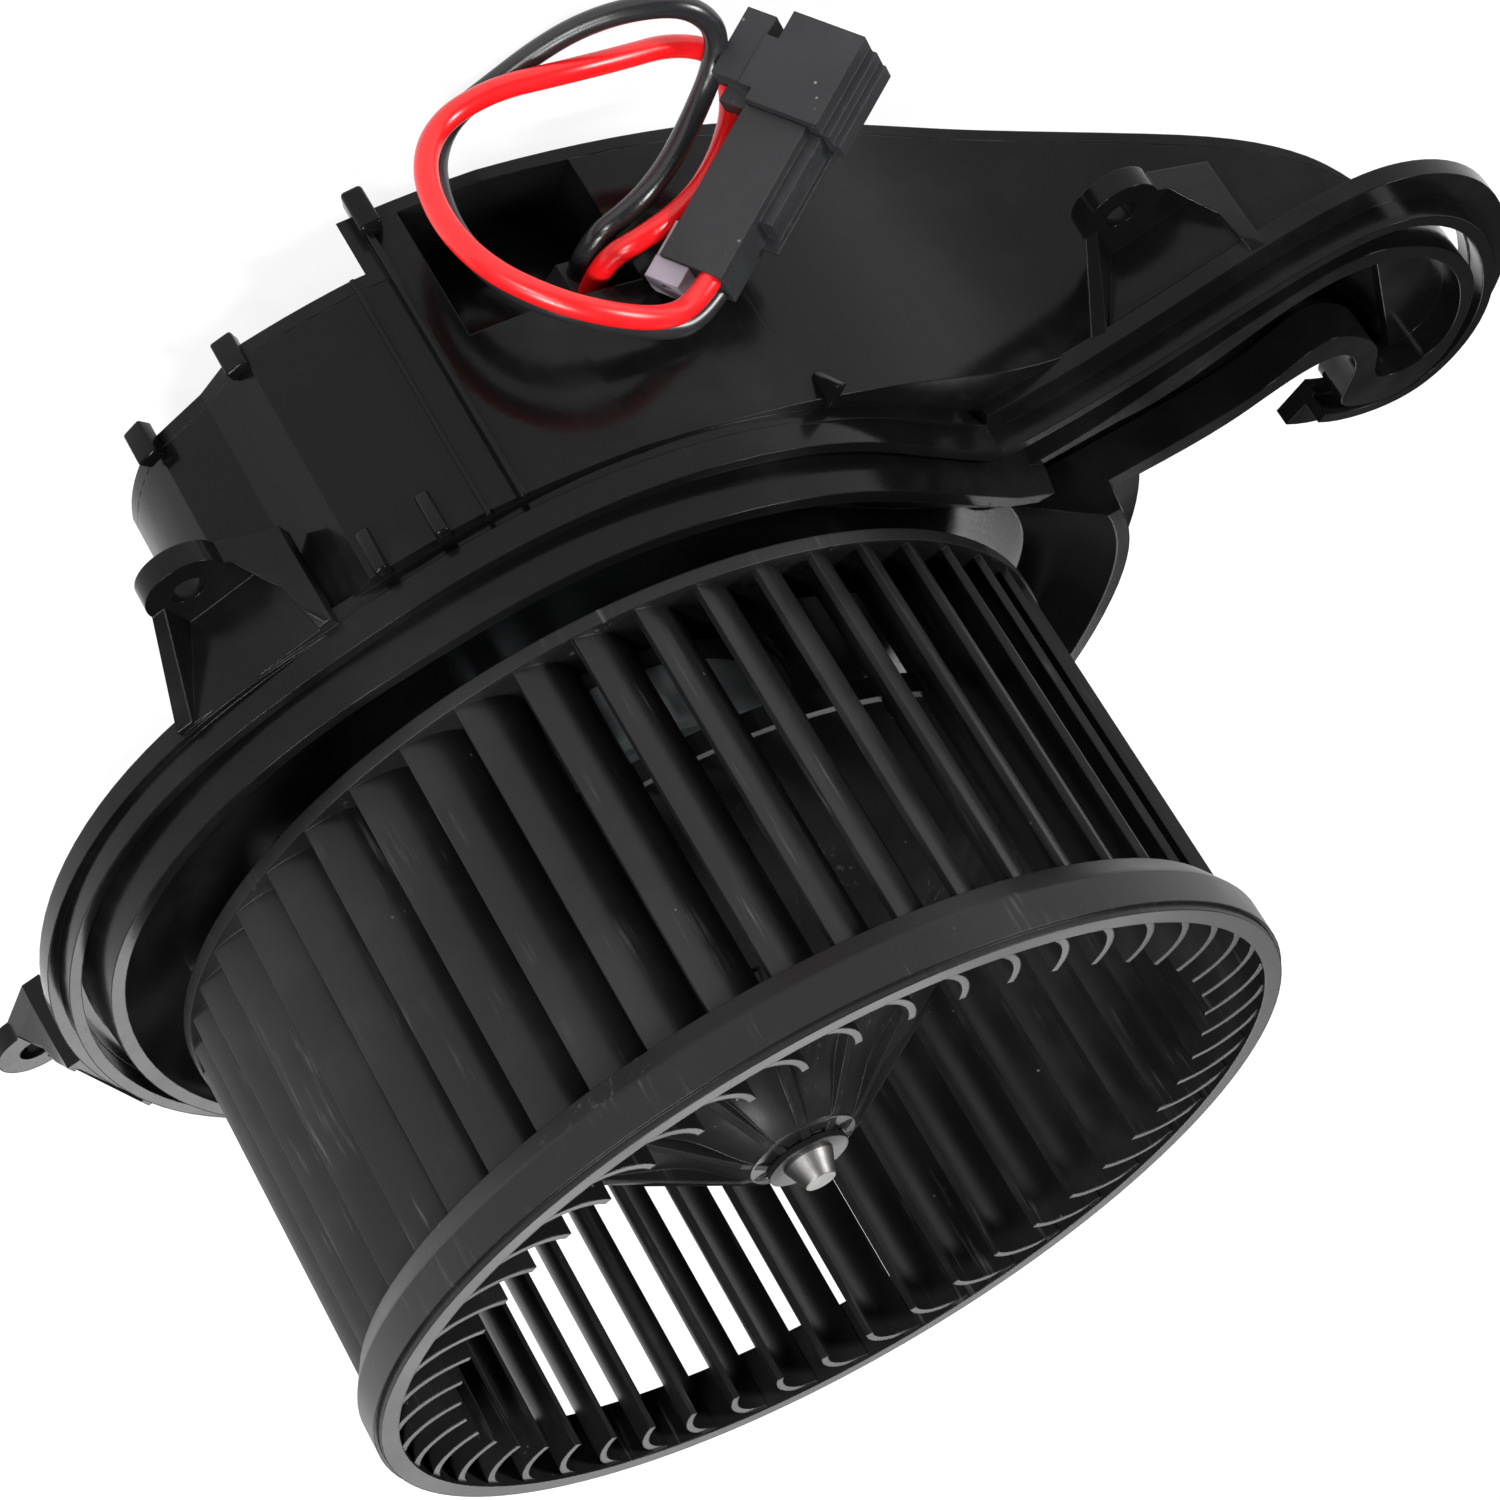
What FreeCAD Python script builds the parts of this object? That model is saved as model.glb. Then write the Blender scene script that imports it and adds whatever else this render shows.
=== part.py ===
"""Car heater blower: moulded housing with a tail duct, brushed motor, fan wheel and a plug lead.

Frame: millimetres, +Z towards the open inlet of the wheel, origin on the wheel axis in the
wheel-side face of the flange, tail towards -X.
"""
import FreeCAD, Part
import math
import os
import Sketcher
from FreeCAD import Vector

os.makedirs("parts", exist_ok=True)
doc = FreeCAD.newDocument("blower")
UP = Vector(0, 0, 1)
ORIGIN = Vector(0, 0, 0)

# ---------------------------------------------------------------- driving dimensions
DIMENSIONS = {
    "wheel_radius": 75.5,
    "wheel_top": 83.05,
    "wheel_bottom": 12.8,
    "blade_count": 48,
    "blade_inner": 62.0,
    "blade_bend": 10.0,
    "blade_sweep": 80.0,
    "blade_wall": 1.2,
    "band_bottom": 72.8,
    "rib_count": 10,
    "rib_first": 40.0,
    "shaft_radius": 4.0,
    "shaft_top": 76.6,
    "shaft_bottom": -53.0,
    "can_radius": 31.7,
    "can_top": 26.8,
    "can_bottom": -50.0,
    "can_wall": 1.6,
    "collar_radius": 33.2,
    "collar_wall": 2.4,
    "collar_top": 1.5,
    "collar_bottom": -34.0,
    "magnet_inner": 26.4,
    "magnet_top": 17.0,
    "magnet_bottom": -27.0,
    "core_radius": 25.6,
    "core_top": 12.0,
    "core_bottom": -22.0,
    "slot_count": 12,
    "commutator_radius": 11.0,
    "commutator_top": -31.0,
    "commutator_bottom": -43.0,
    "card_top": -44.0,
    "card_wall": 1.6,
    "bush_radius": 8.0,
    "bush_length": 8.0,
    "flange_wall": 3.0,
    "groove_wall_top": 4.0,
    "inner_wall_top": 9.2,
    "shell_wall": 2.4,
    "cover_wall": 2.2,
    "cup_radius": 40.0,
    "cup_bottom": -61.0,
    "low_tier": -45.3,
    "high_tier": -55.0,
    "lug_hole": 2.6,
    "lug_wall": 3.6,
    "lug_top": -13.2,
    "wire_diameter": 3.5,
}
sheet = doc.addObject("Spreadsheet::Sheet", "dims")
for row_number, (alias, size) in enumerate(DIMENSIONS.items(), start=1):
    sheet.set(f"A{row_number}", alias)
    sheet.set(f"B{row_number}", str(size))
    sheet.setAlias(f"B{row_number}", alias)
doc.recompute()


def dim(name):
    """One driving dimension, read back from the sheet."""
    return float(getattr(sheet, name))


def value(expression):
    """The number behind a run of sheet names and numbers joined by + and -."""
    total, sign = 0.0, 1.0
    for word in expression.split():
        if word in ("+", "-"):
            sign = 1.0 if word == "+" else -1.0
        else:
            total += sign * (dim(word[5:]) if word.startswith("dims.") else float(word))
    return total


# ---------------------------------------------------------------- drawing helpers
def polar(radius, degrees, height=0.0):
    angle = math.radians(degrees)
    return Vector(radius * math.cos(angle), radius * math.sin(angle), height)


def flat(points, height=0.0):
    """XY pairs as vectors at one height."""
    return [Vector(x, y, height) for x, y in points]


def smooth(points, closed=False):
    """A smooth curve through the points, as an edge."""
    spline = Part.BSplineCurve()
    spline.interpolate(Points=points, PeriodicFlag=closed)
    return spline.toShape()


def line(start, end):
    return Part.LineSegment(start, end).toShape()


def arc(start, middle, end):
    return Part.Arc(start, middle, end).toShape()


def prism(edges, bottom, top):
    """The closed outline drawn at Z = 0, raised from bottom to top."""
    face = Part.Face(Part.Wire(Part.__sortEdges__(edges)))
    face.translate(UP * bottom)
    return face.extrude(UP * (top - bottom))


def polygon(points, bottom, top):
    corners = flat(points)
    edges = [line(a, b) for a, b in zip(corners, corners[1:] + corners[:1])]
    return prism(edges, bottom, top)


def cylinder(radius, bottom, top, centre=(0.0, 0.0)):
    return Part.makeCylinder(radius, top - bottom, Vector(centre[0], centre[1], bottom))


def tube(outer, inner, bottom, top):
    return cylinder(outer, bottom, top).cut(cylinder(inner, bottom, top))


def strip(points, outside, inside, bottom, top):
    """A wall along a smooth line: one distance per point to its right, one for all to its left."""
    spline = Part.BSplineCurve()
    spline.interpolate(Points=points)
    right, left = [], []
    for point, reach in zip(points, outside):
        tangent = spline.tangent(spline.parameter(point))[0]
        normal = tangent.cross(UP)
        right.append(point + normal * reach)
        left.append(point - normal * inside)
    edges = [smooth(right), line(right[-1], left[-1]), smooth(left), line(left[0], right[0])]
    return prism(edges, bottom, top)


def revolved(profile_edges):
    """A half section drawn in the XZ plane, turned about Z."""
    face = Part.Face(Part.Wire(Part.__sortEdges__(profile_edges)))
    return face.revolve(ORIGIN, UP, 360)


def section(points):
    """(radius, height) pairs as points of a half section."""
    return [Vector(radius, 0, height) for radius, height in points]


def loop(corners):
    return [line(a, b) for a, b in zip(corners, corners[1:] + corners[:1])]


def group(shapes):
    return Part.makeCompound(shapes)


def piece(name, shape, placement=FreeCAD.Placement()):
    """A sub-part whose shape is made by functions that read the sheet."""
    feature = doc.addObject("Part::Feature", name)
    feature.Shape = shape
    feature.Placement = placement
    return feature


# ---------------------------------------------------------------- turned pieces (PartDesign)
def origin_plane(body, role):
    return [item for item in body.Origin.OriginFeatures if item.Role == role][0]


def turned(name, profile, base="0"):
    """A body turned about Z. The profile is a run of (radius, height above base) expressions."""
    body = doc.addObject("PartDesign::Body", name)
    sketch = body.newObject("Sketcher::SketchObject", name + "_section")
    sketch.AttachmentSupport = [(origin_plane(body, "XZ_Plane"), "")]
    sketch.MapMode = "FlatFace"
    corners = [Vector(value(r), value(h), 0) for r, h in profile]
    count = len(corners)
    for index in range(count):
        sketch.addGeometry(Part.LineSegment(corners[index], corners[(index + 1) % count]), False)
    for index in range(count):
        joint = Sketcher.Constraint("Coincident", index, 2, (index + 1) % count, 1)
        sketch.addConstraint(joint)
    for index, sizes in enumerate(profile):
        for kind, size, axis in (("DistanceX", sizes[0], -2), ("DistanceY", sizes[1], -1)):
            if size == "0":
                sketch.addConstraint(Sketcher.Constraint("PointOnObject", index, 1, axis))
                continue
            number = sketch.addConstraint(Sketcher.Constraint(kind, -1, 1, index, 1, value(size)))
            sketch.setExpression(f"Constraints[{number}]", size.replace("dims.", "<<dims>>."))
    doc.recompute()
    turn = body.newObject("PartDesign::Revolution", name + "_turn")
    turn.Profile = sketch
    turn.ReferenceAxis = (sketch, ["V_Axis"])
    turn.Angle = 360
    body.Tip = turn
    body.setExpression("Placement.Base.z", base)
    doc.recompute()
    return body


def drilled(body, name, radius, hole_centre, count):
    """Holes along Z all the way through a turned body, in a circle."""
    sketch = body.newObject("Sketcher::SketchObject", name + "_centre")
    sketch.AttachmentSupport = [(origin_plane(body, "XY_Plane"), "")]
    sketch.MapMode = "FlatFace"
    sketch.addGeometry(Part.Circle(Vector(hole_centre, 0, 0), UP, radius), False)
    sketch.addConstraint(Sketcher.Constraint("PointOnObject", 0, 3, -1))
    sketch.addConstraint(Sketcher.Constraint("DistanceX", -1, 1, 0, 3, hole_centre))
    sketch.addConstraint(Sketcher.Constraint("Radius", 0, radius))
    doc.recompute()
    before = body.Shape.Volume
    pocket = body.newObject("PartDesign::Pocket", name)
    pocket.Profile = sketch
    pocket.Type = "ThroughAll"
    pocket.Midplane = True
    body.Tip = pocket
    doc.recompute()
    ring = body.newObject("PartDesign::PolarPattern", name + "_ring")
    ring.Originals = [pocket]
    ring.Axis = (sketch, ["N_Axis"])
    ring.Angle = 360
    ring.Occurrences = count
    body.Tip = ring
    doc.recompute()
    assert body.Shape.Volume < before, name + " removed nothing"
    return body


# ---------------------------------------------------------------- housing outlines
CORNER = -160.0
LIP = [(85.4, CORNER), (83.6, -154), (82.7, -145), (82.7, -120), (82.5, -95), (83.4, -80),
       (87.0, -67), (89.3, -54), (89.5, -30), (89.5, 20), (89.7, 70), (90.5, 115), (94.0, 145),
       (98.0, 162), (99.5, 174)]
BEAD = [(83.0, CORNER), (80.6, -151), (81.0, -138), (82.0, -122), (82.3, -105), (82.3, -90),
        (83.2, -75), (86.4, -59), (87.6, -45), (87.0, -30), (86.0, -12), (85.6, 20), (85.8, 70),
        (86.8, 110), (88.6, 138)]
INNER = [(81.1, -163), (78.0, -153), (77.3, -140), (78.0, -122), (79.0, -100), (79.4, -84),
         (81.6, -71), (84.2, -50), (84.2, -33), (82.2, -17), (80.5, 5), (80.2, 40), (80.6, 80),
         (82.4, 115), (86.5, 148), (90.0, 162), (92.3, 174), (91.5, -177), (90.3, -172)]
TAIL_BEAD = [(-78, -28.3), (-99, -27), (-120, -28.3), (-137, -28.3), (-145, -26.4), (-152, -21.4),
             (-157.8, -12.5), (-160.7, 2), (-159.2, 15.5), (-153.5, 25), (-146, 29), (-137.5, 27.3),
             (-129, 20.8)]
TAIL_LIP = [3.2, 3.2, 3.2, 3.0, 2.2, 1.5, 1.2, 1.2, 1.2, 1.2, 1.2, 1.4, 1.6]
TAIL_OUTER = [(-78, -21.2), (-108, -21.8), (-129.6, -24), (-140, -23), (-149.9, -15.6),
              (-156.4, -4.5), (-158, 7.4), (-154.8, 18.5), (-149.7, 25.4), (-143, 27.6),
              (-136, 24.2), (-132.7, 19.6), (-134.6, 14.4), (-136.2, 9), (-134.2, 3.8),
              (-128.7, 1.9), (-115.9, 3.4), (-100, 3), (-90, 1.6)]
POCKET = [(-97, -17.7), (-118.5, -19.1), (-129.2, -20.8), (-139, -19.6), (-149.6, -12.2),
          (-154.6, -2), (-155.3, 9), (-151.5, 18.6), (-146.5, 21), (-139.6, 17.8), (-140.2, 10),
          (-138, 2), (-132.5, -3.4), (-123.6, -1.3), (-109, -0.1), (-97, -0.9)]
WALL_LINE = [(-33, -76.7), (-44, -70.7), (-60, -60), (-75, -47.5), (-86, -37.5), (-97, -31.6),
             (-111, -29.9), (-128, -30.6), (-141, -29.6)]
DUCT_TIP = [(-141, -29.6), (-149.5, -24.5), (-156, -13), (-158.6, 2), (-156, 16.5), (-149.5, 25.6)]
DUCT_FAR = [(-149.5, 25.6), (-143.2, 26.2), (-137.8, 19.0), (-137.0, 10.0), (-131.0, 3.6),
            (-120, 2.6), (-108, 3.2), (-95, 3)]
RAMP = [(-62, -55.0), (-75, -54.2), (-87.6, -52), (-100.5, -45.5), (-113, -36.6), (-125, -27.2),
        (-133, -20.5), (-139, -14.4), (-145.5, -3)]
RIDGE_X = -12.0


def round_points(stations, height=0.0, grow=0.0):
    return [polar(radius + grow, degrees, height) for radius, degrees in stations]


def inner_wire(height, grow):
    """The scroll wall's outline, open towards the tail by one straight run."""
    points = round_points(INNER, height, grow)
    return Part.Wire([smooth(points), line(points[-1], points[0])])


def plain(edge):
    """An offset edge redrawn as an ordinary smooth curve between the same ends."""
    if edge.Curve.TypeId == "Part::GeomOffsetCurve":
        return smooth(edge.discretize(Number=12))
    return edge


def shell_outline(inset):
    """The rear housing seen from the inlet: motor cup, front lobe, long wall, tail and duct."""
    tangent = (-15.7, 36.7)
    side = [(38.6, -10.5), (36, -59)]
    lobe = [(36, -59), (33, -66.5), (26.4, -75.0)]
    facet = [(26.4, -75.0), (16.9, -78.7), (8.5, -84.6)]
    front = arc(Vector(8.5, -84.6, 0), polar(84.6, -90.5), polar(84.4, -97))
    belly = arc(polar(84.4, -97), Vector(-22, -80.6, 0), Vector(-33, -76.7, 0))
    cup_start = Vector(tangent[0], tangent[1], 0)
    cup_end = Vector(side[0][0], side[0][1], 0)
    edges = [line(*flat(side)), smooth(flat(lobe)), line(*flat(facet[:2])), line(*flat(facet[1:])),
             front, belly, smooth(flat(WALL_LINE)), smooth(flat(DUCT_TIP)),
             smooth(flat(DUCT_FAR)), line(Vector(-95, 3, 0), cup_start),
             arc(cup_start, polar(dim("cup_radius"), 50), cup_end)]
    outline = Part.Face(Part.Wire(Part.__sortEdges__(edges)))
    if not inset:
        return outline
    smaller = outline.makeOffset2D(-inset)
    assert smaller.Area < outline.Area, "the inner outline must be the smaller one"
    return Part.Face(Part.Wire(Part.__sortEdges__([plain(edge) for edge in smaller.Edges])))


def depth_region(rise):
    """Everything above the stepped and sloping back, which is lifted by rise."""
    side = rise * 1.1
    floor = [Vector(60, -120, 0), Vector(60, -120, dim("low_tier") + rise),
             Vector(RIDGE_X - side, -120, dim("low_tier") + rise),
             Vector(RIDGE_X - side, -120, dim("high_tier") + rise),
             Vector(RAMP[0][0], -120, dim("high_tier") + rise)]
    ramp = [Vector(x, -120, z + rise) for x, z in RAMP]
    end = [Vector(-175, -120, RAMP[-1][1] + rise), Vector(-175, -120, 0)]
    edges = [line(a, b) for a, b in zip(floor, floor[1:])]
    edges += [smooth(ramp), line(ramp[-1], end[0]), line(end[0], end[1]), line(end[1], floor[0])]
    return Part.Face(Part.Wire(Part.__sortEdges__(edges))).extrude(Vector(0, 200, 0))


def sector(inner, outer, start, end, bottom, top):
    """A ring sector between two row angles."""
    middle = (start + end) / 2
    edges = [arc(polar(outer, start), polar(outer, middle), polar(outer, end)),
             line(polar(outer, end), polar(inner, end)),
             arc(polar(inner, end), polar(inner, middle), polar(inner, start)),
             line(polar(inner, start), polar(outer, start))]
    return prism(edges, bottom, top)


LUGS = {
    "left": {"foot": ((41.6, -78.2), (14.9, -83.6)), "reach": 8.4, "slide": 0.7},
    "right": {"foot": ((-96.7, -30.3), (-127.0, -33.7)), "reach": 9.8, "slide": -0.4},
    "far": {"foot": ((87.0, 24.0), (90.5, -4.0)), "reach": 9.0, "slide": 0.0},
}


def quad(corners, height):
    points = [Vector(u, v, height) for u, v in corners]
    return Part.Wire([line(a, b) for a, b in zip(points, points[1:] + points[:1])])


def lug(foot, reach, slide):
    """A screw tab held off the flange by a web and two side gussets, in the flange's frame."""
    start, end = flat(foot)
    across = start.sub(end)
    half = across.Length / 2
    top = dim("lug_top")
    tip = 6.4
    skin = 2.2
    outer = Part.makeLoft([quad([(-3, -half), (1, -half), (1, 1 - half), (1, half), (-3, half)], -0.5),
                           quad([(-1.6, -half), (1.6, -half), (reach, -tip), (reach, tip),
                                 (-1.6, tip)], top)], True, True)
    recess = Part.makeLoft([quad([(0.2, skin - half), (6, skin - half), (6, 1 + skin - half),
                                  (6, half - skin), (0.2, half - skin)], 0.5),
                            quad([(1.2, 4 - half), (2.6, 4 - half), (reach + 5, skin - tip),
                                  (reach + 5, tip - skin), (1.2, tip - skin)], top - 0.01)],
                           True, True)
    shape = [(-1.6, tip), (-1.6, -half), (1.6, -half), (reach, -tip), (reach, tip)]
    bottom = top - dim("lug_wall")
    tab = polygon(shape, bottom, top).fuse(cylinder(tip, bottom, top, (reach, 0)))
    solid = outer.cut(recess).fuse(tab)
    solid = solid.cut(cylinder(dim("lug_hole"), top - 9, top + 9, (reach, 0)))
    solid = solid.removeSplitter()
    outward = across.cross(UP).normalize()
    if outward.dot(start + end) < 0:
        outward = outward * -1
    sideways = UP.cross(outward)
    middle = (start + end) * 0.5 + sideways * slide
    matrix = FreeCAD.Matrix(outward.x, sideways.x, 0, middle.x,
                            outward.y, sideways.y, 0, middle.y,
                            0, 0, 1, 0, 0, 0, 0, 1)
    return solid.transformed(matrix, True)


def flange():
    """The lip plate, the seal groove's rounded bead and inner wall, and the scroll floor."""
    wall = dim("flange_wall")
    crest = dim("groove_wall_top")
    lip = round_points(LIP)
    plate = prism([smooth(lip), line(lip[-1], lip[0])], -wall, 0)
    tail_plate = prism([smooth(flat(TAIL_OUTER)), line(*flat([TAIL_OUTER[-1], TAIL_OUTER[0]]))],
                       -wall, 0)
    tail_lip = strip(flat(TAIL_BEAD), TAIL_LIP, 6.0, -wall, 0)
    bead = strip(round_points(BEAD), [1.0] * len(BEAD), 1.0, -0.5, crest)
    tail_bead = strip(flat(TAIL_BEAD), [1.0] * len(TAIL_BEAD), 1.0, -0.5, crest)
    tail_wall = prism([smooth(flat(TAIL_OUTER)), line(*flat([TAIL_OUTER[-1], TAIL_OUTER[0]]))],
                      -0.5, crest)
    scroll = Part.makeLoft([inner_wire(-0.5, 1.4), inner_wire(dim("inner_wall_top"), 0.0)], True)
    bowl = Part.makeLoft([inner_wire(0.0, -14.0), inner_wire(dim("inner_wall_top") + 0.2, -2.0)],
                         True)
    solid = plate.fuse([tail_plate, tail_lip, tail_bead, bead, tail_wall, scroll])
    return solid.cut(bowl)


def pocket_outline():
    """The tail's air pocket, which runs under the scroll wall to the wheel's side."""
    mouth = flat([(-97, -0.9), (-84, -2.0), (-72, -9.0), (-71, -19.5), (-84, -18.6), (-97, -17.7)])
    return [smooth(flat(POCKET)), line(mouth[0], mouth[1]), smooth(mouth[1:4]),
            line(mouth[3], mouth[4]), line(mouth[4], mouth[5])]


NOTCH_TOP = -29.4


def wire_notch(grow):
    """The recess in the front lobe where the leads come out."""
    return sector(70 - grow, 95, -104 + grow * 0.75, -123 - grow * 0.75,
                  dim("high_tier") + dim("cover_wall") - grow * 3, NOTCH_TOP + grow)


def housing_and_cover():
    wall = dim("shell_wall")
    cover_wall = dim("cover_wall")
    flange_wall = dim("flange_wall")
    low, high, cup_bottom = dim("low_tier"), dim("high_tier"), dim("cup_bottom")
    outer_face = shell_outline(0)
    inner_face = shell_outline(wall)
    outer = outer_face.copy()
    outer.translate(UP * -80)
    outer = outer.extrude(UP * (80 - flange_wall + 0.5))
    inner = inner_face.copy()
    inner.translate(UP * -80)
    inner = inner.extrude(UP * (80 - flange_wall))
    region = depth_region(0.0)
    lifted = depth_region(cover_wall)
    walls = outer.cut(inner).common(lifted)
    notch_wall = wire_notch(wall).common(outer).common(lifted)
    walls = walls.fuse(notch_wall).cut(wire_notch(0.0))
    collar = tube(dim("collar_radius") + dim("collar_wall"), dim("collar_radius"),
                  dim("collar_bottom"), dim("collar_top"))
    pocket_cut = prism(pocket_outline(), -flange_wall - 0.5, dim("inner_wall_top") + 1)
    tip_floor = Part.makeBox(30, 80, flange_wall, Vector(-174.5, -40, -0.8 - flange_wall))
    pocket_cut = pocket_cut.cut(tip_floor)
    body = flange().fuse([walls]).cut(pocket_cut).fuse([collar])
    for sizes in LUGS.values():
        body = body.fuse(lug(**sizes))
    body = body.cut(cylinder(dim("collar_radius"), -60, 20))
    below_flange = Part.makeBox(300, 300, 80, Vector(-200, -150, -80 - flange_wall))
    plates = outer.common(region).cut(lifted).common(below_flange)
    step = Part.makeBox(cover_wall * 1.1, 140, low - high, Vector(RIDGE_X - cover_wall * 1.1, -120,
                                                               high + cover_wall))
    step = step.common(outer).cut(wire_notch(0.0))
    cup = dim("cup_radius")
    ring = tube(cup, cup - wall, cup_bottom, low + cover_wall)
    base = cylinder(cup, cup_bottom, cup_bottom + cover_wall)
    cover = plates.fuse([step]).cut(cylinder(cup - wall, cup_bottom, 0))
    cover = cover.fuse([ring.cut(walls), base])
    body = body.cut(cover)
    return body, cover


def lead_hole(clearance):
    """The flat-sided hole in the notch's inner wall, which the grommet fills."""
    wide, tall = 2.8 + clearance, 4.0 + clearance
    block = Part.makeBox(12, 2 * wide, 2 * tall, Vector(60, -wide, GROMMET_HEIGHT - tall))
    block.rotate(ORIGIN, UP, GROMMET_ANGLE)
    return block


def grommet():
    stem = lead_hole(-0.15).common(tube(71, 65.5, -60, 0))
    collar = Part.makeLoft([grommet_ring(70.05, 3.8, 4.8), grommet_ring(73.0, 3.5, 4.6),
                            grommet_ring(GROMMET_REACH, 2.4, 4.2)], True, True)
    backing = cylinder(70.05, -60, 0)
    return stem.fuse(collar.cut(backing))


def grommet_ring(reach, wide, tall):
    points = [Vector(reach, side * wide, GROMMET_HEIGHT + level * tall)
              for side, level in ((-1, -1), (1, -1), (1, 1), (-1, 1))]
    wire = Part.Wire(loop(points))
    wire.rotate(ORIGIN, UP, GROMMET_ANGLE)
    return wire


GROMMET_ANGLE = -119.2
GROMMET_HEIGHT = -34.9
GROMMET_REACH = 77.9


# ---------------------------------------------------------------- fan wheel
def blade(angle):
    """One forward-curved blade: an arc wall, radial at its inner edge."""
    bend, half = dim("blade_bend"), dim("blade_wall") / 2
    sweep = dim("blade_sweep")
    centre = Vector(dim("blade_inner"), bend, 0)

    def at(radius, turn):
        phase = math.radians(turn - 90)
        return centre + Vector(radius * math.cos(phase), radius * math.sin(phase), 0)

    edges = [arc(at(bend - half, 0), at(bend - half, sweep / 2), at(bend - half, sweep)),
             line(at(bend - half, sweep), at(bend + half, sweep)),
             arc(at(bend + half, sweep), at(bend + half, sweep / 2), at(bend + half, 0)),
             line(at(bend + half, 0), at(bend - half, 0))]
    solid = prism(edges, dim("wheel_bottom") + 0.4, dim("wheel_top") - 0.55)
    solid.rotate(ORIGIN, UP, angle)
    return solid


WEB_TOP = [(8.6, 71.0), (12, 68), (15, 65), (19.6, 62), (25.7, 59), (35, 53), (48, 44), (62.6, 34.4)]


def fan_wheel():
    radius, top, band = dim("wheel_radius"), dim("wheel_top"), dim("band_bottom")
    bottom, shaft = dim("wheel_bottom"), dim("shaft_radius")
    step = 0.6
    rim = loop(section([(72.0, band), (radius - 2.2, band), (radius - 0.3, band + 3.2),
                        (radius, band + 3.8), (radius, top - 1.1), (radius - step, top - 1.1),
                        (radius - step, top), (72.0, top)]))
    ring = loop(section([(61.4, bottom), (73.3, bottom), (73.3, bottom + 2.2),
                         (61.4, bottom + 2.2)]))
    upper = section(WEB_TOP)
    lower = section([(r, z - 2.6) for r, z in WEB_TOP])
    web = [smooth(upper), line(upper[-1], lower[-1]), smooth(lower), line(lower[0], upper[0])]
    hub = loop(section([(shaft, 44.0), (8.0, 44.0), (8.9, 71.0), (6.0, 71.4), (6.6, 72.0),
                        (6.6, 73.0), (shaft, 72.6)]))
    joint = loop(section([(61.4, 31.4), (63.4, 31.4), (63.4, 34.8), (61.4, 34.8)]))
    rib_corners = [(5.0, 71.8), (6.8, 71.8), (10.5, 70.2), (33.0, 55.2), (20.0, 58.5), (5.0, 60.0)]
    rib = Part.Face(Part.Wire(loop(section(rib_corners)))).extrude(Vector(0, 1.4, 0))
    rib.translate(Vector(0, -0.7, 0))
    ribs = []
    for number in range(int(dim("rib_count"))):
        copy = rib.copy()
        copy.rotate(ORIGIN, UP, dim("rib_first") + number * 360 / dim("rib_count"))
        ribs.append(copy)
    blades = [blade(number * 360 / dim("blade_count")) for number in range(int(dim("blade_count")))]
    wheel = revolved(rim).fuse([revolved(edges) for edges in (ring, web, hub, joint)] + ribs + blades)
    return wheel.cut(cylinder(shaft, 30, 90))


# ---------------------------------------------------------------- motor inside
def magnets():
    inner, outer = dim("magnet_inner"), dim("can_radius") - dim("can_wall") - 0.05
    bottom, top = dim("magnet_bottom"), dim("magnet_top")
    return group([sector(inner, outer, start, start + 124, bottom, top) for start in (-62, 118)])


def slot_angles():
    count = int(dim("slot_count"))
    return [number * 360 / count for number in range(count)]


def armature_core():
    bottom, top = dim("core_bottom"), dim("core_top")
    core = tube(dim("core_radius"), dim("shaft_radius"), bottom, top)
    cutters = []
    for angle in slot_angles():
        centre = polar(19.5, angle)
        mouth = Part.makeBox(10, 2, top - bottom, Vector(19.5, -1, bottom))
        mouth.rotate(ORIGIN, UP, angle)
        cutters += [cylinder(3.3, bottom, top, (centre.x, centre.y)), mouth]
    return core.cut(cutters)


def armature_winding():
    bottom, top = dim("core_bottom"), dim("core_top")
    turns = [tube(23.6, 10.4, top + 0.05, top + 3.9), tube(23.6, 10.4, bottom - 4.2, bottom - 0.05)]
    for angle in slot_angles():
        centre = polar(19.5, angle)
        turns.append(cylinder(3.1, bottom - 1, top + 1, (centre.x, centre.y)))
    return turns[0].fuse(turns[1:])


def brush_side(shape):
    """The same shape on both sides of the commutator."""
    other = shape.copy()
    other.rotate(ORIGIN, UP, 180)
    return group([shape, other])


BRUSH_HEIGHT = -40.0


def brushes():
    block = Part.makeBox(9.0, 5.0, 5.0, Vector(10.0, -2.5, BRUSH_HEIGHT - 2.5))
    return brush_side(block.cut(cylinder(dim("commutator_radius") + 0.04, -60, 0)))


def brush_holders():
    box = Part.makeBox(12.0, 6.8, 6.8, Vector(13.0, -3.4, BRUSH_HEIGHT - 3.4))
    hole = Part.makeBox(14.0, 5.3, 5.3, Vector(10.8, -2.65, BRUSH_HEIGHT - 2.65))
    return brush_side(box.cut(hole))


def brush_springs():
    turns, steps, radius, pitch = 4, 10, 1.9, 1.15
    points = [polar(radius, 360 * step / steps, pitch * step / steps) for step in range(turns * steps)]
    circle = Part.Wire(Part.makeCircle(0.3, points[0], points[1] - points[0]))
    coil = Part.Wire(smooth(points)).makePipeShell([circle], True, True)
    coil.rotate(ORIGIN, Vector(0, 1, 0), 90)
    coil.translate(Vector(19.4, 0, BRUSH_HEIGHT))
    return brush_side(coil)


def choke_coils():
    rod = cylinder(1.6, -8, 8).fuse([cylinder(2.5, -5.5, 5.5)])
    rod.rotate(ORIGIN, Vector(0, 1, 0), 90)
    rod.translate(Vector(0, 20.5, dim("card_top") + 2.6))
    return brush_side(rod)


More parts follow.
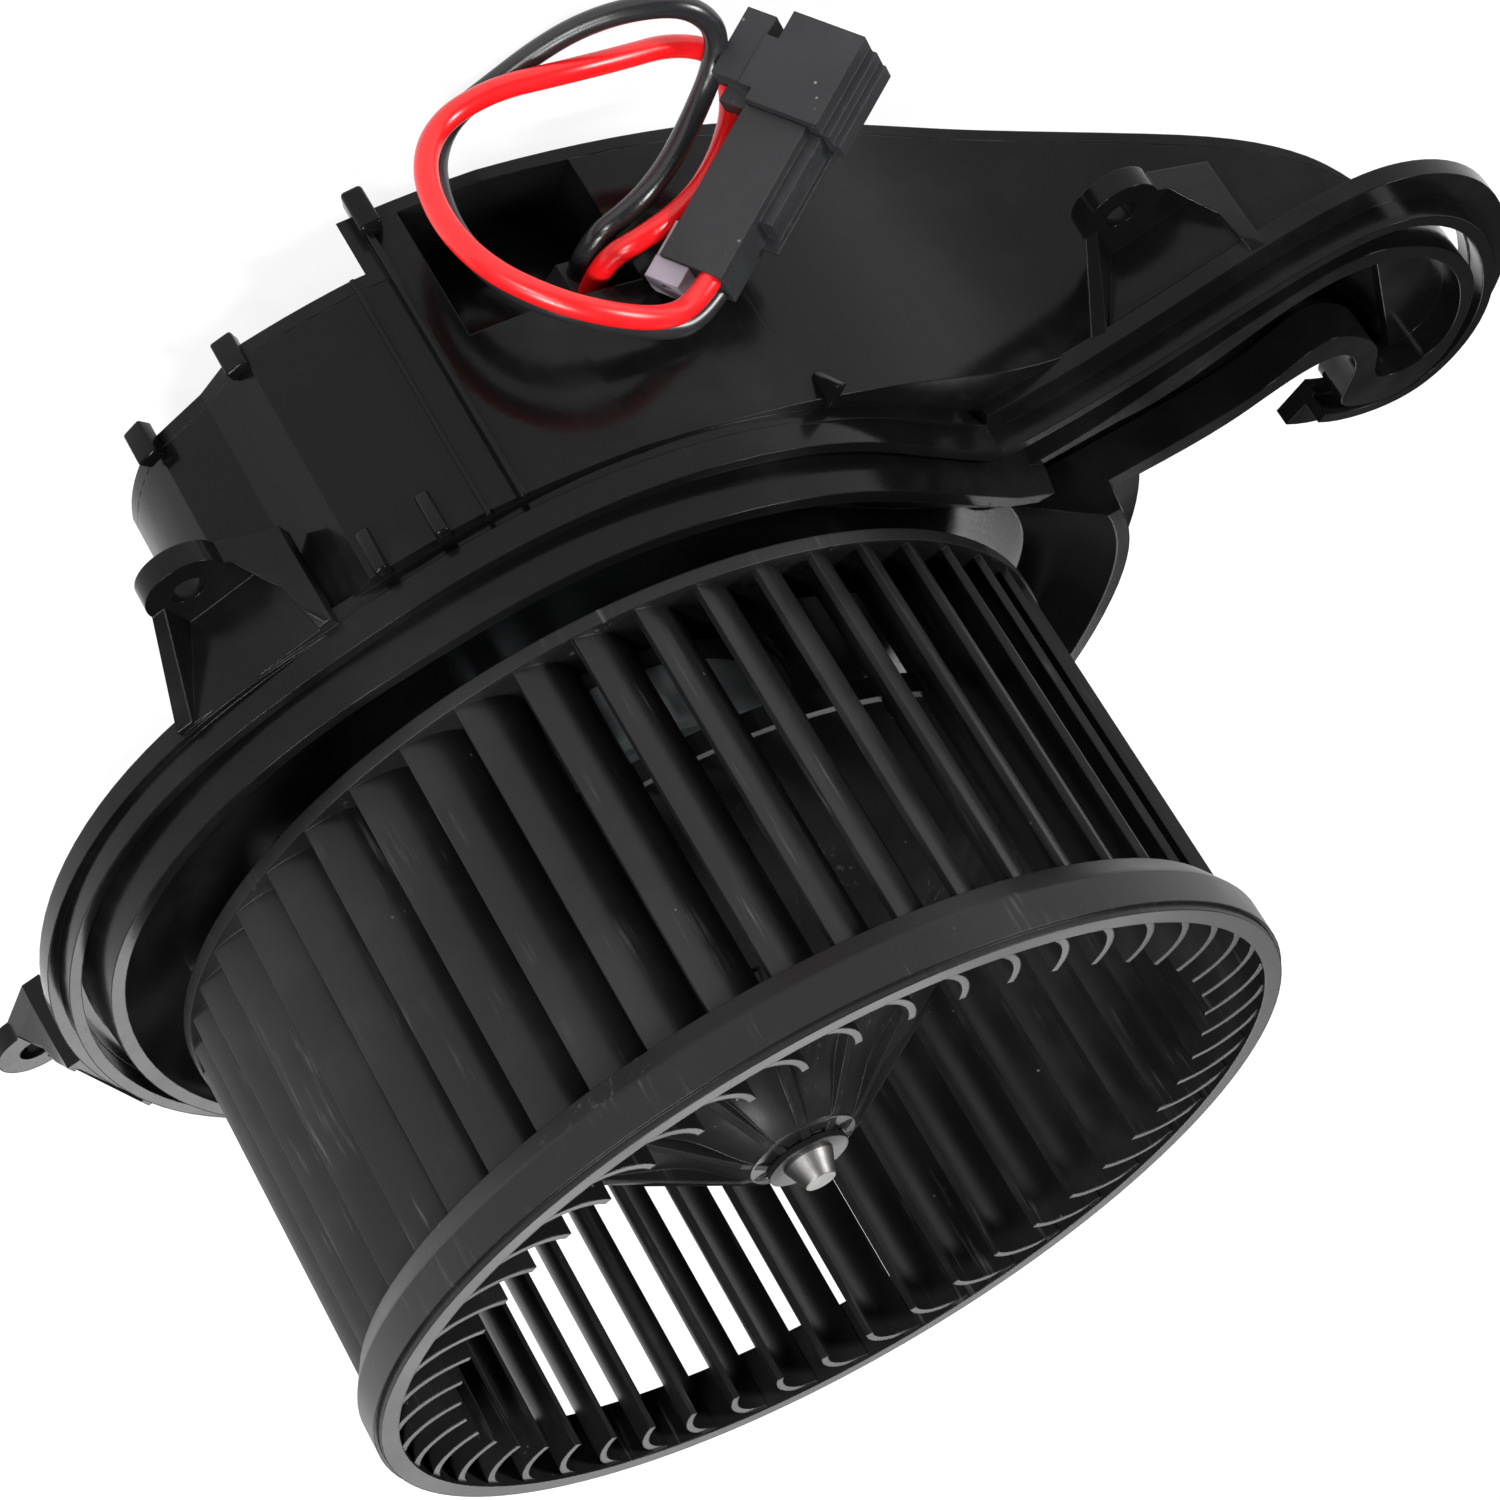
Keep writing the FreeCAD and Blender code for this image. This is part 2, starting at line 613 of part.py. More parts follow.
def thrust_washers():
    return group([tube(7.4, dim("shaft_radius") + 0.05, 15.5, 15.95),
                  tube(7.4, dim("shaft_radius") + 0.05, -46.85, -46.35)])


SCREW_CIRCLE = 36.2
SCREW_SEAT = -35.8
SCREW_PLACES = [tuple(polar(SCREW_CIRCLE, angle))[:2] for angle in (140, 230, 320)]


def motor_screws():
    """Three screws that hold the retaining ring up against the collar's bosses."""
    screws = []
    for place in SCREW_PLACES:
        head = cylinder(3.2, SCREW_SEAT - 2.4, SCREW_SEAT, place)
        socket = cylinder(1.5, SCREW_SEAT - 2.4, SCREW_SEAT - 1.0, place)
        shank = cylinder(1.45, SCREW_SEAT, SCREW_SEAT + 9.0, place)
        screws.append(head.cut(socket).fuse([shank]))
    return group(screws)


def retaining_ring():
    """The pressed ring under the isolator, with three ears for the screws."""
    bottom, top = SCREW_SEAT + 0.1, dim("collar_bottom") - 0.1
    ears = [cylinder(3.6, bottom, top, place) for place in SCREW_PLACES]
    ring = tube(34.6, 31.9, bottom, top).fuse(ears)
    return ring.cut([cylinder(1.7, -40, -30, place) for place in SCREW_PLACES]
                    + [cylinder(31.9, -40, -30)])


def screw_bosses():
    return [cylinder(3.6, dim("collar_bottom"), -22, place) for place in SCREW_PLACES]


def screw_holes():
    return [cylinder(1.5, dim("collar_bottom") - 1, -26, place) for place in SCREW_PLACES]


# ---------------------------------------------------------------- leads
RED_ROUTE = [(-38.0, -68.0, -33.05), (-41.6, -74.4, -32.6), (-49.0, -75.6, -31.6),
             (-57.0, -71.2, -35.2), (-64.2, -67.6, -41.3), (-70.2, -67.0, -48.0),
             (-72.2, -70.6, -54.6), (-66.6, -76.2, -56.4), (-58.5, -82.5, -54.8),
             (-49.5, -88.0, -54.4), (-40.6, -90.4, -56.2), (-31.6, -92.6, -54.6),
             (-26.4, -95.8, -47.4), (-24.9, -96.8, -37.6), (-27.0, -95.8, -28.0),
             (-32.5, -92.7, -20.4), (-38.4, -87.9, -16.4), (-44.2, -81.6, -15.4),
             (-48.9, -75.4, -18.1), (-53.24, -74.31, -21.05)]
BLACK_ROUTE = [(-38.0, -68.0, -36.75), (-41.6, -74.4, -36.6), (-49.6, -74.8, -37.2),
               (-57.2, -72.0, -42.0), (-64.0, -71.4, -47.2), (-70.0, -74.0, -50.8),
               (-73.0, -80.0, -52.4), (-70.4, -86.2, -54.4), (-63.2, -89.2, -56.6),
               (-55.8, -89.4, -58.4), (-48.6, -88.2, -59.2), (-41.0, -86.6, -59.2),
               (-33.6, -86.6, -58.2), (-28.6, -87.8, -53.0), (-26.2, -89.2, -45.4),
               (-25.8, -89.8, -37.2), (-27.8, -89.0, -29.2), (-32.4, -86.2, -23.0),
               (-38.3, -80.6, -19.6), (-43.4, -75.0, -18.0), (-48.4, -71.2, -17.9),
               (-53.46, -70.51, -20.95)]


def lead(route, name):
    """A round lead: straight runs joined by the largest tangent arcs that its runs allow."""
    points = [Vector(*point) for point in route]
    edges, radii, start = [], [], points[0]
    for before, corner, after in zip(points, points[1:], points[2:]):
        back = (before - corner).normalize()
        ahead = (after - corner).normalize()
        half_turn = (math.pi - back.getAngle(ahead)) / 2
        reach = 0.45 * min((before - corner).Length, (after - corner).Length)
        radius = reach / math.tan(half_turn)
        entry, leave = corner + back * reach, corner + ahead * reach
        middle_line = (back + ahead).normalize()
        middle = corner + middle_line * (radius / math.cos(half_turn) - radius)
        edges += [line(start, entry), arc(entry, middle, leave)]
        radii.append(round(radius, 1))
        start = leave
    edges.append(line(start, points[-1]))
    path = Part.Wire(edges)
    circle = Part.Wire(Part.makeCircle(dim("wire_diameter") / 2, points[0], points[1] - points[0]))
    solid = path.makePipeShell([circle], True, True)
    expected = math.pi * (dim("wire_diameter") / 2) ** 2 * path.Length
    print(name, "length", round(path.Length, 1), "volume ratio", round(solid.Volume / expected, 4),
          "radii", radii)
    return solid


# ---------------------------------------------------------------- plug at the end of the leads
PLUG_ORIGIN = Vector(-52.0, -72.25, -23.2)
PLUG_AXIS = Vector(-0.851, -0.034, -0.522)
PLUG_WIDE = Vector(-0.521, -0.061, 0.853)


def plug_frame():
    """The plug's own axes: X its width, Y its depth, Z from the leads to the mating end."""
    along = Vector(PLUG_AXIS).normalize()
    deep = along.cross(PLUG_WIDE).normalize()
    wide = deep.cross(along)
    matrix = FreeCAD.Matrix(wide.x, deep.x, along.x, PLUG_ORIGIN.x,
                            wide.y, deep.y, along.y, PLUG_ORIGIN.y,
                            wide.z, deep.z, along.z, PLUG_ORIGIN.z, 0, 0, 0, 1)
    return FreeCAD.Placement(matrix)


def block(wide, deep, bottom, top, centre=(0.0, 0.0)):
    corner = Vector(centre[0] - wide / 2, centre[1] - deep / 2, bottom)
    return Part.makeBox(wide, deep, top - bottom, corner)


def plug_body():
    """The slim wire-end half, with a keying rail and a fin along one side."""
    body = block(10.3, 7.6, 0, 25.5, (-0.25, 0))
    rail = block(2.0, 5.0, 10.5, 25.5, (5.9, 0.5))
    fin = block(2.7, 0.8, 8.5, 25.5, (6.25, 2.9))
    cavities = [block(2.4, 2.4, 5, 26, (2.6, side * 1.9)) for side in (-1, 1)]
    return body.fuse([rail, fin]).cut(cavities)


def plug_cap():
    """The wide mating half: a shell with a latch tab, a notch, a hook and stepped side rails."""
    shell = block(14.2, 10.8, 25.55, 40.5, (-0.3, 0))
    cavity = block(9.0, 7.2, 27.0, 41, (0.9, 0))
    ports = block(3.4, 6.6, 25, 28, (2.6, 0))
    notch = block(2.3, 12, 35.8, 41, (-6.3, 0))
    corner = block(2.5, 12, 25, 27.5, (-6.35, 0))
    tab = block(4.9, 3.8, 27.8, 38.9, (-9.75, -3.1))
    hook = block(5.0, 3.2, 25.0, 28.2, (-7.6, -1.0))
    rails = [block(1.5, 4.8, 25.55, 40.0, (7.45, -0.2)), block(1.3, 3.0, 25.55, 39.4, (8.75, 1.0))]
    return shell.cut([notch, corner]).fuse([tab, hook] + rails).cut([cavity, ports])


def plug_lock():
    tongue = block(5.6, 5.2, -3.4, -0.05, (-3.4, -0.6))
    window = block(1.6, 1.6, -4, 0, (-3.0, -1.4))
    return tongue.fuse([block(1.0, 4.0, -3.4, 6.0, (-5.95, -0.6))]).cut([window])


def plug_terminals():
    return group([block(0.8, 2.0, 6.0, 35.5, (2.6, side * 1.9)) for side in (-1, 1)])


# ---------------------------------------------------------------- pieces
housing_shape, cover_shape = housing_and_cover()
housing_shape = housing_shape.fuse(screw_bosses()).cut(screw_holes() + [lead_hole(0.0)])
housing_shape = housing_shape.cut(cylinder(dim("collar_radius"), -60, 20))
piece("blower_housing", housing_shape)
piece("rear_cover", cover_shape)
piece("wire_grommet", grommet())
piece("fan_wheel", fan_wheel())
piece("magnets", magnets())
piece("armature_core", armature_core())
piece("armature_winding", armature_winding())
piece("brushes", brushes())
piece("brush_holders", brush_holders())
piece("brush_springs", brush_springs())
piece("choke_coils", choke_coils())
piece("thrust_washers", thrust_washers())
piece("retaining_ring", retaining_ring())
piece("motor_screws", motor_screws())
piece("red_wire", lead(RED_ROUTE, "red_wire"))
piece("black_wire", lead(BLACK_ROUTE, "black_wire"))
piece("connector_body", plug_body(), plug_frame())
piece("connector_cap", plug_cap(), plug_frame())
piece("connector_lock", plug_lock(), plug_frame())
piece("connector_terminals", plug_terminals(), plug_frame())

CAN = "dims.can_radius"
CAN_HEIGHT = "dims.can_top - dims.can_bottom"
CEILING = CAN_HEIGHT + " - dims.can_wall"
GROOVE = "14.3 - dims.can_bottom"
turned("motor_can", [
    (CAN + " - dims.can_wall", "0"), (CAN, "0"),
    (CAN, GROOVE + " - 1.2"), (CAN + " - 0.5", GROOVE), (CAN, GROOVE + " + 1.2"),
    (CAN, CAN_HEIGHT + " - 4"), (CAN + " - 1.2", CAN_HEIGHT + " - 1.2"), (CAN + " - 4", CAN_HEIGHT),
    ("dims.shaft_radius + 1.2", CAN_HEIGHT), ("dims.shaft_radius + 1.2", CEILING),
    ("dims.bush_radius + 0.1", CEILING), ("dims.bush_radius + 0.1", CEILING + " - 6"),
    ("dims.bush_radius + 1.7", CEILING + " - 6"), ("dims.bush_radius + 1.7", CEILING),
    (CAN + " - 4.6", CEILING), (CAN + " - dims.can_wall", CAN_HEIGHT + " - 4.6")],
    "dims.can_bottom")
drilled(doc.getObject("motor_can"), "vent", 3.4, 20.0, 6)
turned("motor_end_plate", [
    ("0", "0"), ("dims.bush_radius + 1.7", "0"), ("dims.bush_radius + 1.7", "7.5"),
    (CAN + " - dims.can_wall - 0.05", "7.5"), (CAN + " - dims.can_wall - 0.05", "9.5"),
    ("dims.bush_radius + 0.1", "9.5"), ("dims.bush_radius + 0.1", "1.5"), ("0", "1.5")],
    "dims.can_bottom - 7.5")
turned("motor_isolator", [
    (CAN + " + 0.1", "0"), ("dims.collar_radius - 0.1", "0"),
    ("dims.collar_radius - 0.1", "33"), ("dims.collar_radius + 1.6", "33"),
    ("dims.collar_radius + 1.6", "34.5"), (CAN + " + 0.1", "34.5")],
    "-31.4")
turned("motor_shaft", [
    ("0", "0"), ("dims.shaft_radius - 0.5", "0"), ("dims.shaft_radius", "0.5"),
    ("dims.shaft_radius", "dims.shaft_top - dims.shaft_bottom - 3.6"),
    ("2.5", "dims.shaft_top - dims.shaft_bottom"), ("0", "dims.shaft_top - dims.shaft_bottom")],
    "dims.shaft_bottom")
turned("commutator", [
    ("dims.shaft_radius", "0"), ("dims.commutator_radius", "0"),
    ("dims.commutator_radius", "dims.commutator_top - dims.commutator_bottom - 1.6"),
    ("dims.commutator_radius + 1.2", "dims.commutator_top - dims.commutator_bottom - 1.6"),
    ("dims.commutator_radius + 1.2", "dims.commutator_top - dims.commutator_bottom"),
    ("dims.shaft_radius", "dims.commutator_top - dims.commutator_bottom")],
    "dims.commutator_bottom")
BUSH = [("dims.shaft_radius + 0.03", "0"), ("dims.bush_radius - 0.8", "0"),
        ("dims.bush_radius", "0.8"), ("dims.bush_radius", "dims.bush_length - 0.8"),
        ("dims.bush_radius - 0.8", "dims.bush_length"),
        ("dims.shaft_radius + 0.03", "dims.bush_length")]
CAP = [("dims.shaft_radius + 1.4", "0"), ("dims.bush_radius + 1.6", "0"),
       ("dims.bush_radius + 1.6", "1"), ("dims.shaft_radius + 1.4", "1")]
turned("front_bush", BUSH, "dims.can_top - dims.can_wall - dims.bush_length - 0.05")
turned("rear_bush", BUSH, "dims.can_bottom - 5.95")
turned("front_bush_retainer", CAP, "dims.can_top - dims.can_wall - dims.bush_length - 1.1")
turned("rear_bush_retainer", CAP, "dims.can_bottom + 2.1")
turned("brush_card", [
    ("12.6", "0"), (CAN + " - dims.can_wall - 0.1", "0"),
    (CAN + " - dims.can_wall - 0.1", "dims.card_wall"), ("12.6", "dims.card_wall")],
    "dims.card_top - dims.card_wall")
doc.recompute()

# ---------------------------------------------------------------- checks and export
parts = [item for item in doc.Objects if item.TypeId in ("Part::Feature", "PartDesign::Body")]
for item in doc.Objects:
    assert "Invalid" not in item.State and "Error" not in item.State, item.Name
for item in parts:
    assert not item.Shape.isNull() and item.Shape.isValid(), item.Label
for item in parts:
    item.Shape.exportStep("parts/" + item.Label + ".step")
    print(item.Label, len(item.Shape.Solids), round(item.Shape.Volume))
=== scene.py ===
"""Heater blower unit: moulded housing, squirrel-cage wheel on its motor, and two leads with a plug.

Routes and wall blocks are in millimetres, the camera and the lights in metres, all in the row's
frame, which has +Z along the wheel's axis to its inlet.
"""
import bmesh
import bpy
from mathutils import Matrix, Vector


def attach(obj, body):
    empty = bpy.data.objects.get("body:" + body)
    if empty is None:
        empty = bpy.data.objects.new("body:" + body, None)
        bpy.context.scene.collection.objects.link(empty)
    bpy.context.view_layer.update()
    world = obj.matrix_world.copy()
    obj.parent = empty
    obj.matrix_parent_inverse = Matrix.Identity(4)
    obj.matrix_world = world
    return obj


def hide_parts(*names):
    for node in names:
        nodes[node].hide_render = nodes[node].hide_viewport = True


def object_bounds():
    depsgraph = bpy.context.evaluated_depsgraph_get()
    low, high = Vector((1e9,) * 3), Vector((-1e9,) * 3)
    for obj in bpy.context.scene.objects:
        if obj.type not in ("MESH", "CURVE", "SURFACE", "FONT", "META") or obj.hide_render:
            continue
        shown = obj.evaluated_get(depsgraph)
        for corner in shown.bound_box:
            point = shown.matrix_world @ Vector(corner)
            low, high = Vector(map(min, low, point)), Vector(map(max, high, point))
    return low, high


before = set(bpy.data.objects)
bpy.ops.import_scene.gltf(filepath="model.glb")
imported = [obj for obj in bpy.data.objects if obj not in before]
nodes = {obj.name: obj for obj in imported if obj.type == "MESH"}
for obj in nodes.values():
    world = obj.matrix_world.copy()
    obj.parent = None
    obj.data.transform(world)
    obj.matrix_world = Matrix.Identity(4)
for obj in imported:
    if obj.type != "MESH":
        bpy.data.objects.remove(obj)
cad_low, cad_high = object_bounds()
scene = bpy.context.scene
collection = scene.collection
MM = 0.001
WHITE = (1.0, 1.0, 1.0, 1.0)


# ---------------------------------------------------------------- camera
CAMERA_PLACE = (-0.0234, -0.5838, 0.2691)
CAMERA_RIGHT = (-0.8564, 0.2081, 0.4726)
CAMERA_FORWARD = (-0.0007, 0.9147, -0.4041)


def make_camera():
    """The photo's camera: a long lens, above and in front, rolled far over."""
    right = Vector(CAMERA_RIGHT).normalized()
    forward = Vector(CAMERA_FORWARD).normalized()
    up = right.cross(forward).normalized()
    right = forward.cross(up).normalized()
    data = bpy.data.cameras.new("camera")
    data.lens = 99.64
    data.sensor_width = 36.0
    data.clip_start = 0.01
    data.clip_end = 60.0
    camera = bpy.data.objects.new("camera", data)
    collection.objects.link(camera)
    turn = Matrix((right, up, -forward)).transposed()
    camera.matrix_world = Matrix.Translation(CAMERA_PLACE) @ turn.to_4x4()
    scene.camera = camera


make_camera()


# ---------------------------------------------------------------- leads
WIRE = 3.5 * MM
RED_ROUTE = [(-38.0, -68.0, -33.05), (-41.6, -74.4, -32.6), (-49.0, -75.6, -31.6),
             (-57.0, -71.2, -35.2), (-64.2, -67.6, -41.3), (-70.2, -67.0, -48.0),
             (-72.2, -70.6, -54.6), (-66.6, -76.2, -56.4), (-58.5, -82.5, -54.8),
             (-49.5, -88.0, -54.4), (-40.6, -90.4, -56.2), (-31.6, -92.6, -54.6),
             (-26.4, -95.8, -47.4), (-24.9, -96.8, -37.6), (-27.0, -95.8, -28.0),
             (-32.5, -92.7, -20.4), (-38.4, -87.9, -16.4), (-44.2, -81.6, -15.4),
             (-48.9, -75.4, -18.1), (-53.24, -74.31, -21.05)]
BLACK_ROUTE = [(-38.0, -68.0, -36.75), (-41.6, -74.4, -36.6), (-49.6, -74.8, -37.2),
               (-57.2, -72.0, -42.0), (-64.0, -71.4, -47.2), (-70.0, -74.0, -50.8),
               (-73.0, -80.0, -52.4), (-70.4, -86.2, -54.4), (-63.2, -89.2, -56.6),
               (-55.8, -89.4, -58.4), (-48.6, -88.2, -59.2), (-41.0, -86.6, -59.2),
               (-33.6, -86.6, -58.2), (-28.6, -87.8, -53.0), (-26.2, -89.2, -45.4),
               (-25.8, -89.8, -37.2), (-27.8, -89.0, -29.2), (-32.4, -86.2, -23.0),
               (-38.3, -80.6, -19.6), (-43.4, -75.0, -18.0), (-48.4, -71.2, -17.9),
               (-53.46, -70.51, -20.95)]


def make_wire(name, route, replaced):
    """One insulated lead on its own smooth spline."""
    data = bpy.data.curves.new(name, "CURVE")
    data.dimensions = "3D"
    spline = data.splines.new("NURBS")
    spline.points.add(len(route) - 1)
    for point, place in zip(spline.points, route):
        point.co = (*[value * MM for value in place], 1.0)
        point.radius = WIRE / 2  # the bevel depth of 1 is multiplied by this
    spline.order_u = 3
    spline.use_endpoint_u = True
    spline.resolution_u = 12
    data.bevel_depth = 1.0
    data.bevel_resolution = 6
    data.use_fill_caps = True
    wire = bpy.data.objects.new(name, data)
    collection.objects.link(wire)
    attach(wire, "stator")
    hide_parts(replaced)
    return wire


red = make_wire("red_lead", RED_ROUTE, "red_wire")
black = make_wire("black_lead", BLACK_ROUTE, "black_wire")


# ---------------------------------------------------------------- material helpers
RELIEF = 0.02 * MM
EDGE_RADIUS = 0.3 * MM


class Shader:
    """A Principled material, built node by node from object-space patterns."""

    def __init__(self, name, color, roughness, metallic=0.0, **sockets):
        self.material = bpy.data.materials.new(name)
        self.material.use_nodes = True
        self.tree = self.material.node_tree
        self.base = self.tree.nodes["Principled BSDF"]
        self.material.diffuse_color = (*color, 1.0)
        self.base.inputs["Base Color"].default_value = (*color, 1.0)
        self.base.inputs["Roughness"].default_value = roughness
        self.base.inputs["Metallic"].default_value = metallic
        for key, value in sockets.items():
            self.base.inputs[key.replace("_", " ")].default_value = value
        self.place = self.node("ShaderNodeTexCoord").outputs["Object"]

    def node(self, kind, **settings):
        """A new shader node with its settings."""
        made = self.tree.nodes.new(kind)
        for key, value in settings.items():
            setattr(made, key, value)
        return made

    def put(self, source, socket):
        """Sets a socket to a number or colour, or links another node's output to it."""
        if isinstance(source, (int, float)):
            socket.default_value = source
        elif isinstance(source, tuple):
            socket.default_value = (*source, 1.0)[:4] if len(socket.default_value) == 4 else source
        else:
            self.tree.links.new(source, socket)

    def stretched(self, scales):
        """Object coordinates scaled by a different amount along each axis."""
        mapping = self.node("ShaderNodeMapping")
        self.put(self.place, mapping.inputs["Vector"])
        mapping.inputs["Scale"].default_value = scales
        return mapping.outputs["Vector"]

    def noise(self, scale, detail, rough=0.55, place=None):
        texture = self.node("ShaderNodeTexNoise")
        self.put(place or self.place, texture.inputs["Vector"])
        self.put(scale, texture.inputs["Scale"])
        self.put(detail, texture.inputs["Detail"])
        self.put(rough, texture.inputs["Roughness"])
        return texture.outputs["Fac"]

    def cells(self, scale):
        """Distance to the nearest of many scattered points."""
        texture = self.node("ShaderNodeTexVoronoi", feature="F1")
        self.put(self.place, texture.inputs["Vector"])
        self.put(scale, texture.inputs["Scale"])
        return texture.outputs["Distance"]

    def ramp(self, source, low, high, start=0.0, end=1.0):
        """A smooth step from start to end while the source goes from low to high."""
        step = self.node("ShaderNodeMapRange", interpolation_type="SMOOTHSTEP")
        self.put(source, step.inputs["Value"])
        limits = {"From Min": low, "From Max": high, "To Min": start, "To Max": end}
        for socket, value in limits.items():
            self.put(value, step.inputs[socket])
        return step.outputs["Result"]

    def times(self, first, second):
        return self.combine("MULTIPLY", first, second)

    def plus(self, first, second):
        return self.combine("ADD", first, second)

    def combine(self, operation, first, second):
        step = self.node("ShaderNodeMath", operation=operation)
        self.put(first, step.inputs[0])
        self.put(second, step.inputs[1])
        return step.outputs["Value"]

    def mix(self, factor, first, second):
        """A blend of two colours: sockets 6 and 7, and output 2, are the colour ones."""
        step = self.node("ShaderNodeMix", data_type="RGBA")
        self.put(factor, step.inputs["Factor"])
        self.put(first, step.inputs[6])
        self.put(second, step.inputs[7])
        return step.outputs[2]

    def color(self, source):
        self.put(source, self.base.inputs["Base Color"])

    def rough(self, source):
        self.put(source, self.base.inputs["Roughness"])

    def relief(self, height):
        """Surface relief on top of softly rounded edges."""
        rounded = self.node("ShaderNodeBevel", samples=6)
        self.put(EDGE_RADIUS, rounded.inputs["Radius"])
        step = self.node("ShaderNodeBump")
        self.put(rounded.outputs["Normal"], step.inputs["Normal"])
        self.put(height, step.inputs["Height"])
        self.put(RELIEF, step.inputs["Distance"])
        self.put(1.0, step.inputs["Strength"])
        self.put(step.outputs["Normal"], self.base.inputs["Normal"])

    def specks(self, scale, size, amount):
        """Sparse dust: 1 on a few small round spots, 0 elsewhere."""
        spots = self.ramp(self.cells(scale), size, size * 0.4)
        patches = self.ramp(self.noise(scale * 0.21, 2.0), 1.0 - amount, 1.0 - amount * 0.8)
        return self.times(spots, patches)


DUST = (0.42, 0.41, 0.39)
SCUFF = (0.12, 0.12, 0.118)
SCUFF_SCALES = (900.0, 900.0, 60.0)
BRUSHED_SCALES = (2600.0, 2600.0, 90.0)


def moulded(name, color, roughness, grain, dust=0.3, scuff=0.0, **sockets):
    """Moulded plastic: a hint of orange peel, streaky handling marks, dust and uneven gloss."""
    shader = Shader(name, color, roughness, **sockets)
    cloud = shader.noise(26.0, detail=5.0, rough=0.6)
    fine = shader.noise(grain, detail=3.0, rough=0.5)
    streaks = shader.noise(1.0, detail=3.0, rough=0.6, place=shader.stretched(SCUFF_SCALES))
    marks = shader.times(shader.ramp(streaks, low=0.55, high=0.8),
                         shader.ramp(shader.noise(60.0, detail=2.0), low=0.45, high=0.66))
    worn = shader.ramp(cloud, low=0.45, high=0.75)
    pale = tuple(min(1.0, value * 2.2 + 0.012) for value in color)
    tone = shader.mix(shader.times(worn, 0.5), color, pale)
    tone = shader.mix(shader.times(marks, scuff), tone, SCUFF)
    dusty = shader.specks(520.0, size=0.16, amount=dust)
    tone = shader.mix(shader.times(dusty, 0.5), tone, DUST)
    shader.color(tone)
    gloss = shader.ramp(cloud, low=0.25, high=0.8, start=roughness - 0.05, end=roughness + 0.12)
    shader.rough(shader.plus(gloss, shader.times(marks, 0.15)))
    shader.relief(shader.plus(shader.times(fine, 0.5), shader.times(marks, -0.6)))
    return shader


def metal(name, color, roughness, spangle=0.0, **sockets):
    """Plated or drawn metal with soft blotches, a brushed grain and sometimes a spangle."""
    shader = Shader(name, color, roughness, 1.0, **sockets)
    cloud = shader.noise(70.0, detail=4.0, rough=0.6)
    grain = shader.noise(1.0, detail=3.0, rough=0.6, place=shader.stretched(BRUSHED_SCALES))
    dark = tuple(value * 0.62 for value in color)
    tone = shader.mix(shader.ramp(cloud, low=0.35, high=0.75), color, dark)
    if spangle:
        flakes = shader.ramp(shader.cells(spangle), low=0.1, high=0.7)
        dull = tuple(value * 0.8 for value in color)
        tone = shader.mix(shader.times(flakes, 0.3), tone, dull)
    shader.color(tone)
    gloss = shader.ramp(cloud, low=0.3, high=0.8, start=roughness - 0.06, end=roughness + 0.14)
    shader.rough(shader.plus(gloss, shader.times(grain, 0.08)))
    shader.relief(grain)
    return shader


def set_material(piece, shader):
    piece.data.materials.clear()
    piece.data.materials.append(shader.material)


# ---------------------------------------------------------------- finishes
housing = moulded("housing_plastic", (0.0035, 0.0036, 0.0038), 0.15, 900.0, dust=0.2,
                  Specular_IOR_Level=0.14)
cover = moulded("cover_plastic", (0.0045, 0.0046, 0.0048), 0.2, 900.0, dust=0.22,
                Specular_IOR_Level=0.15)
wheel = moulded("wheel_plastic", (0.0075, 0.0077, 0.008), 0.34, 1300.0, dust=0.34, scuff=0.5,
                Specular_IOR_Level=0.26)
plug_dark = moulded("plug_plastic", (0.017, 0.0175, 0.019), 0.45, 2400.0, dust=0.4, scuff=0.15,
                    Specular_IOR_Level=0.35)
rubber = moulded("rubber", (0.012, 0.012, 0.012), 0.62, 1800.0, dust=0.3)
red_pvc = moulded("red_pvc", (0.72, 0.006, 0.008), 0.24, 500.0, dust=0.12)
black_pvc = moulded("black_pvc", (0.012, 0.012, 0.013), 0.24, 500.0, dust=0.2)
lock_pale = moulded("lock_plastic", (0.30, 0.26, 0.31), 0.42, 800.0, dust=0.2)
zinc = metal("zinc_plate", (0.66, 0.73, 0.74), 0.42, spangle=420.0, Metallic=0.6)
steel = metal("ground_steel", (0.22, 0.217, 0.21), 0.4)
copper = metal("copper", (0.55, 0.24, 0.11), 0.38)
brass = metal("brass", (0.66, 0.5, 0.22), 0.35)
bronze = metal("sintered_bronze", (0.42, 0.28, 0.14), 0.6)
iron = metal("laminations", (0.14, 0.14, 0.15), 0.5)
ferrite = moulded("ferrite", (0.03, 0.03, 0.032), 0.65, 1500.0)
carbon = moulded("carbon", (0.02, 0.02, 0.021), 0.55, 1500.0)
nylon = moulded("nylon", (0.6, 0.57, 0.48), 0.5, 800.0)
board = moulded("phenolic_board", (0.2, 0.1, 0.04), 0.5, 700.0)
FINISHES = {
    "blower_housing": housing, "rear_cover": cover, "wire_grommet": rubber, "fan_wheel": wheel,
    "magnets": ferrite, "armature_core": iron, "armature_winding": copper, "brushes": carbon,
    "brush_holders": brass, "brush_springs": steel, "choke_coils": copper,
    "thrust_washers": nylon, "retaining_ring": zinc, "motor_screws": steel,
    "connector_body": plug_dark, "connector_cap": plug_dark, "connector_lock": lock_pale,
    "connector_terminals": brass, "motor_can": zinc, "motor_end_plate": zinc,
    "motor_isolator": rubber, "motor_shaft": steel, "commutator": copper, "front_bush": bronze,
    "rear_bush": bronze, "front_bush_retainer": zinc, "rear_bush_retainer": zinc,
    "brush_card": board,
}
for name, shader in FINISHES.items():
    set_material(nodes[name], shader)
set_material(red, red_pvc)
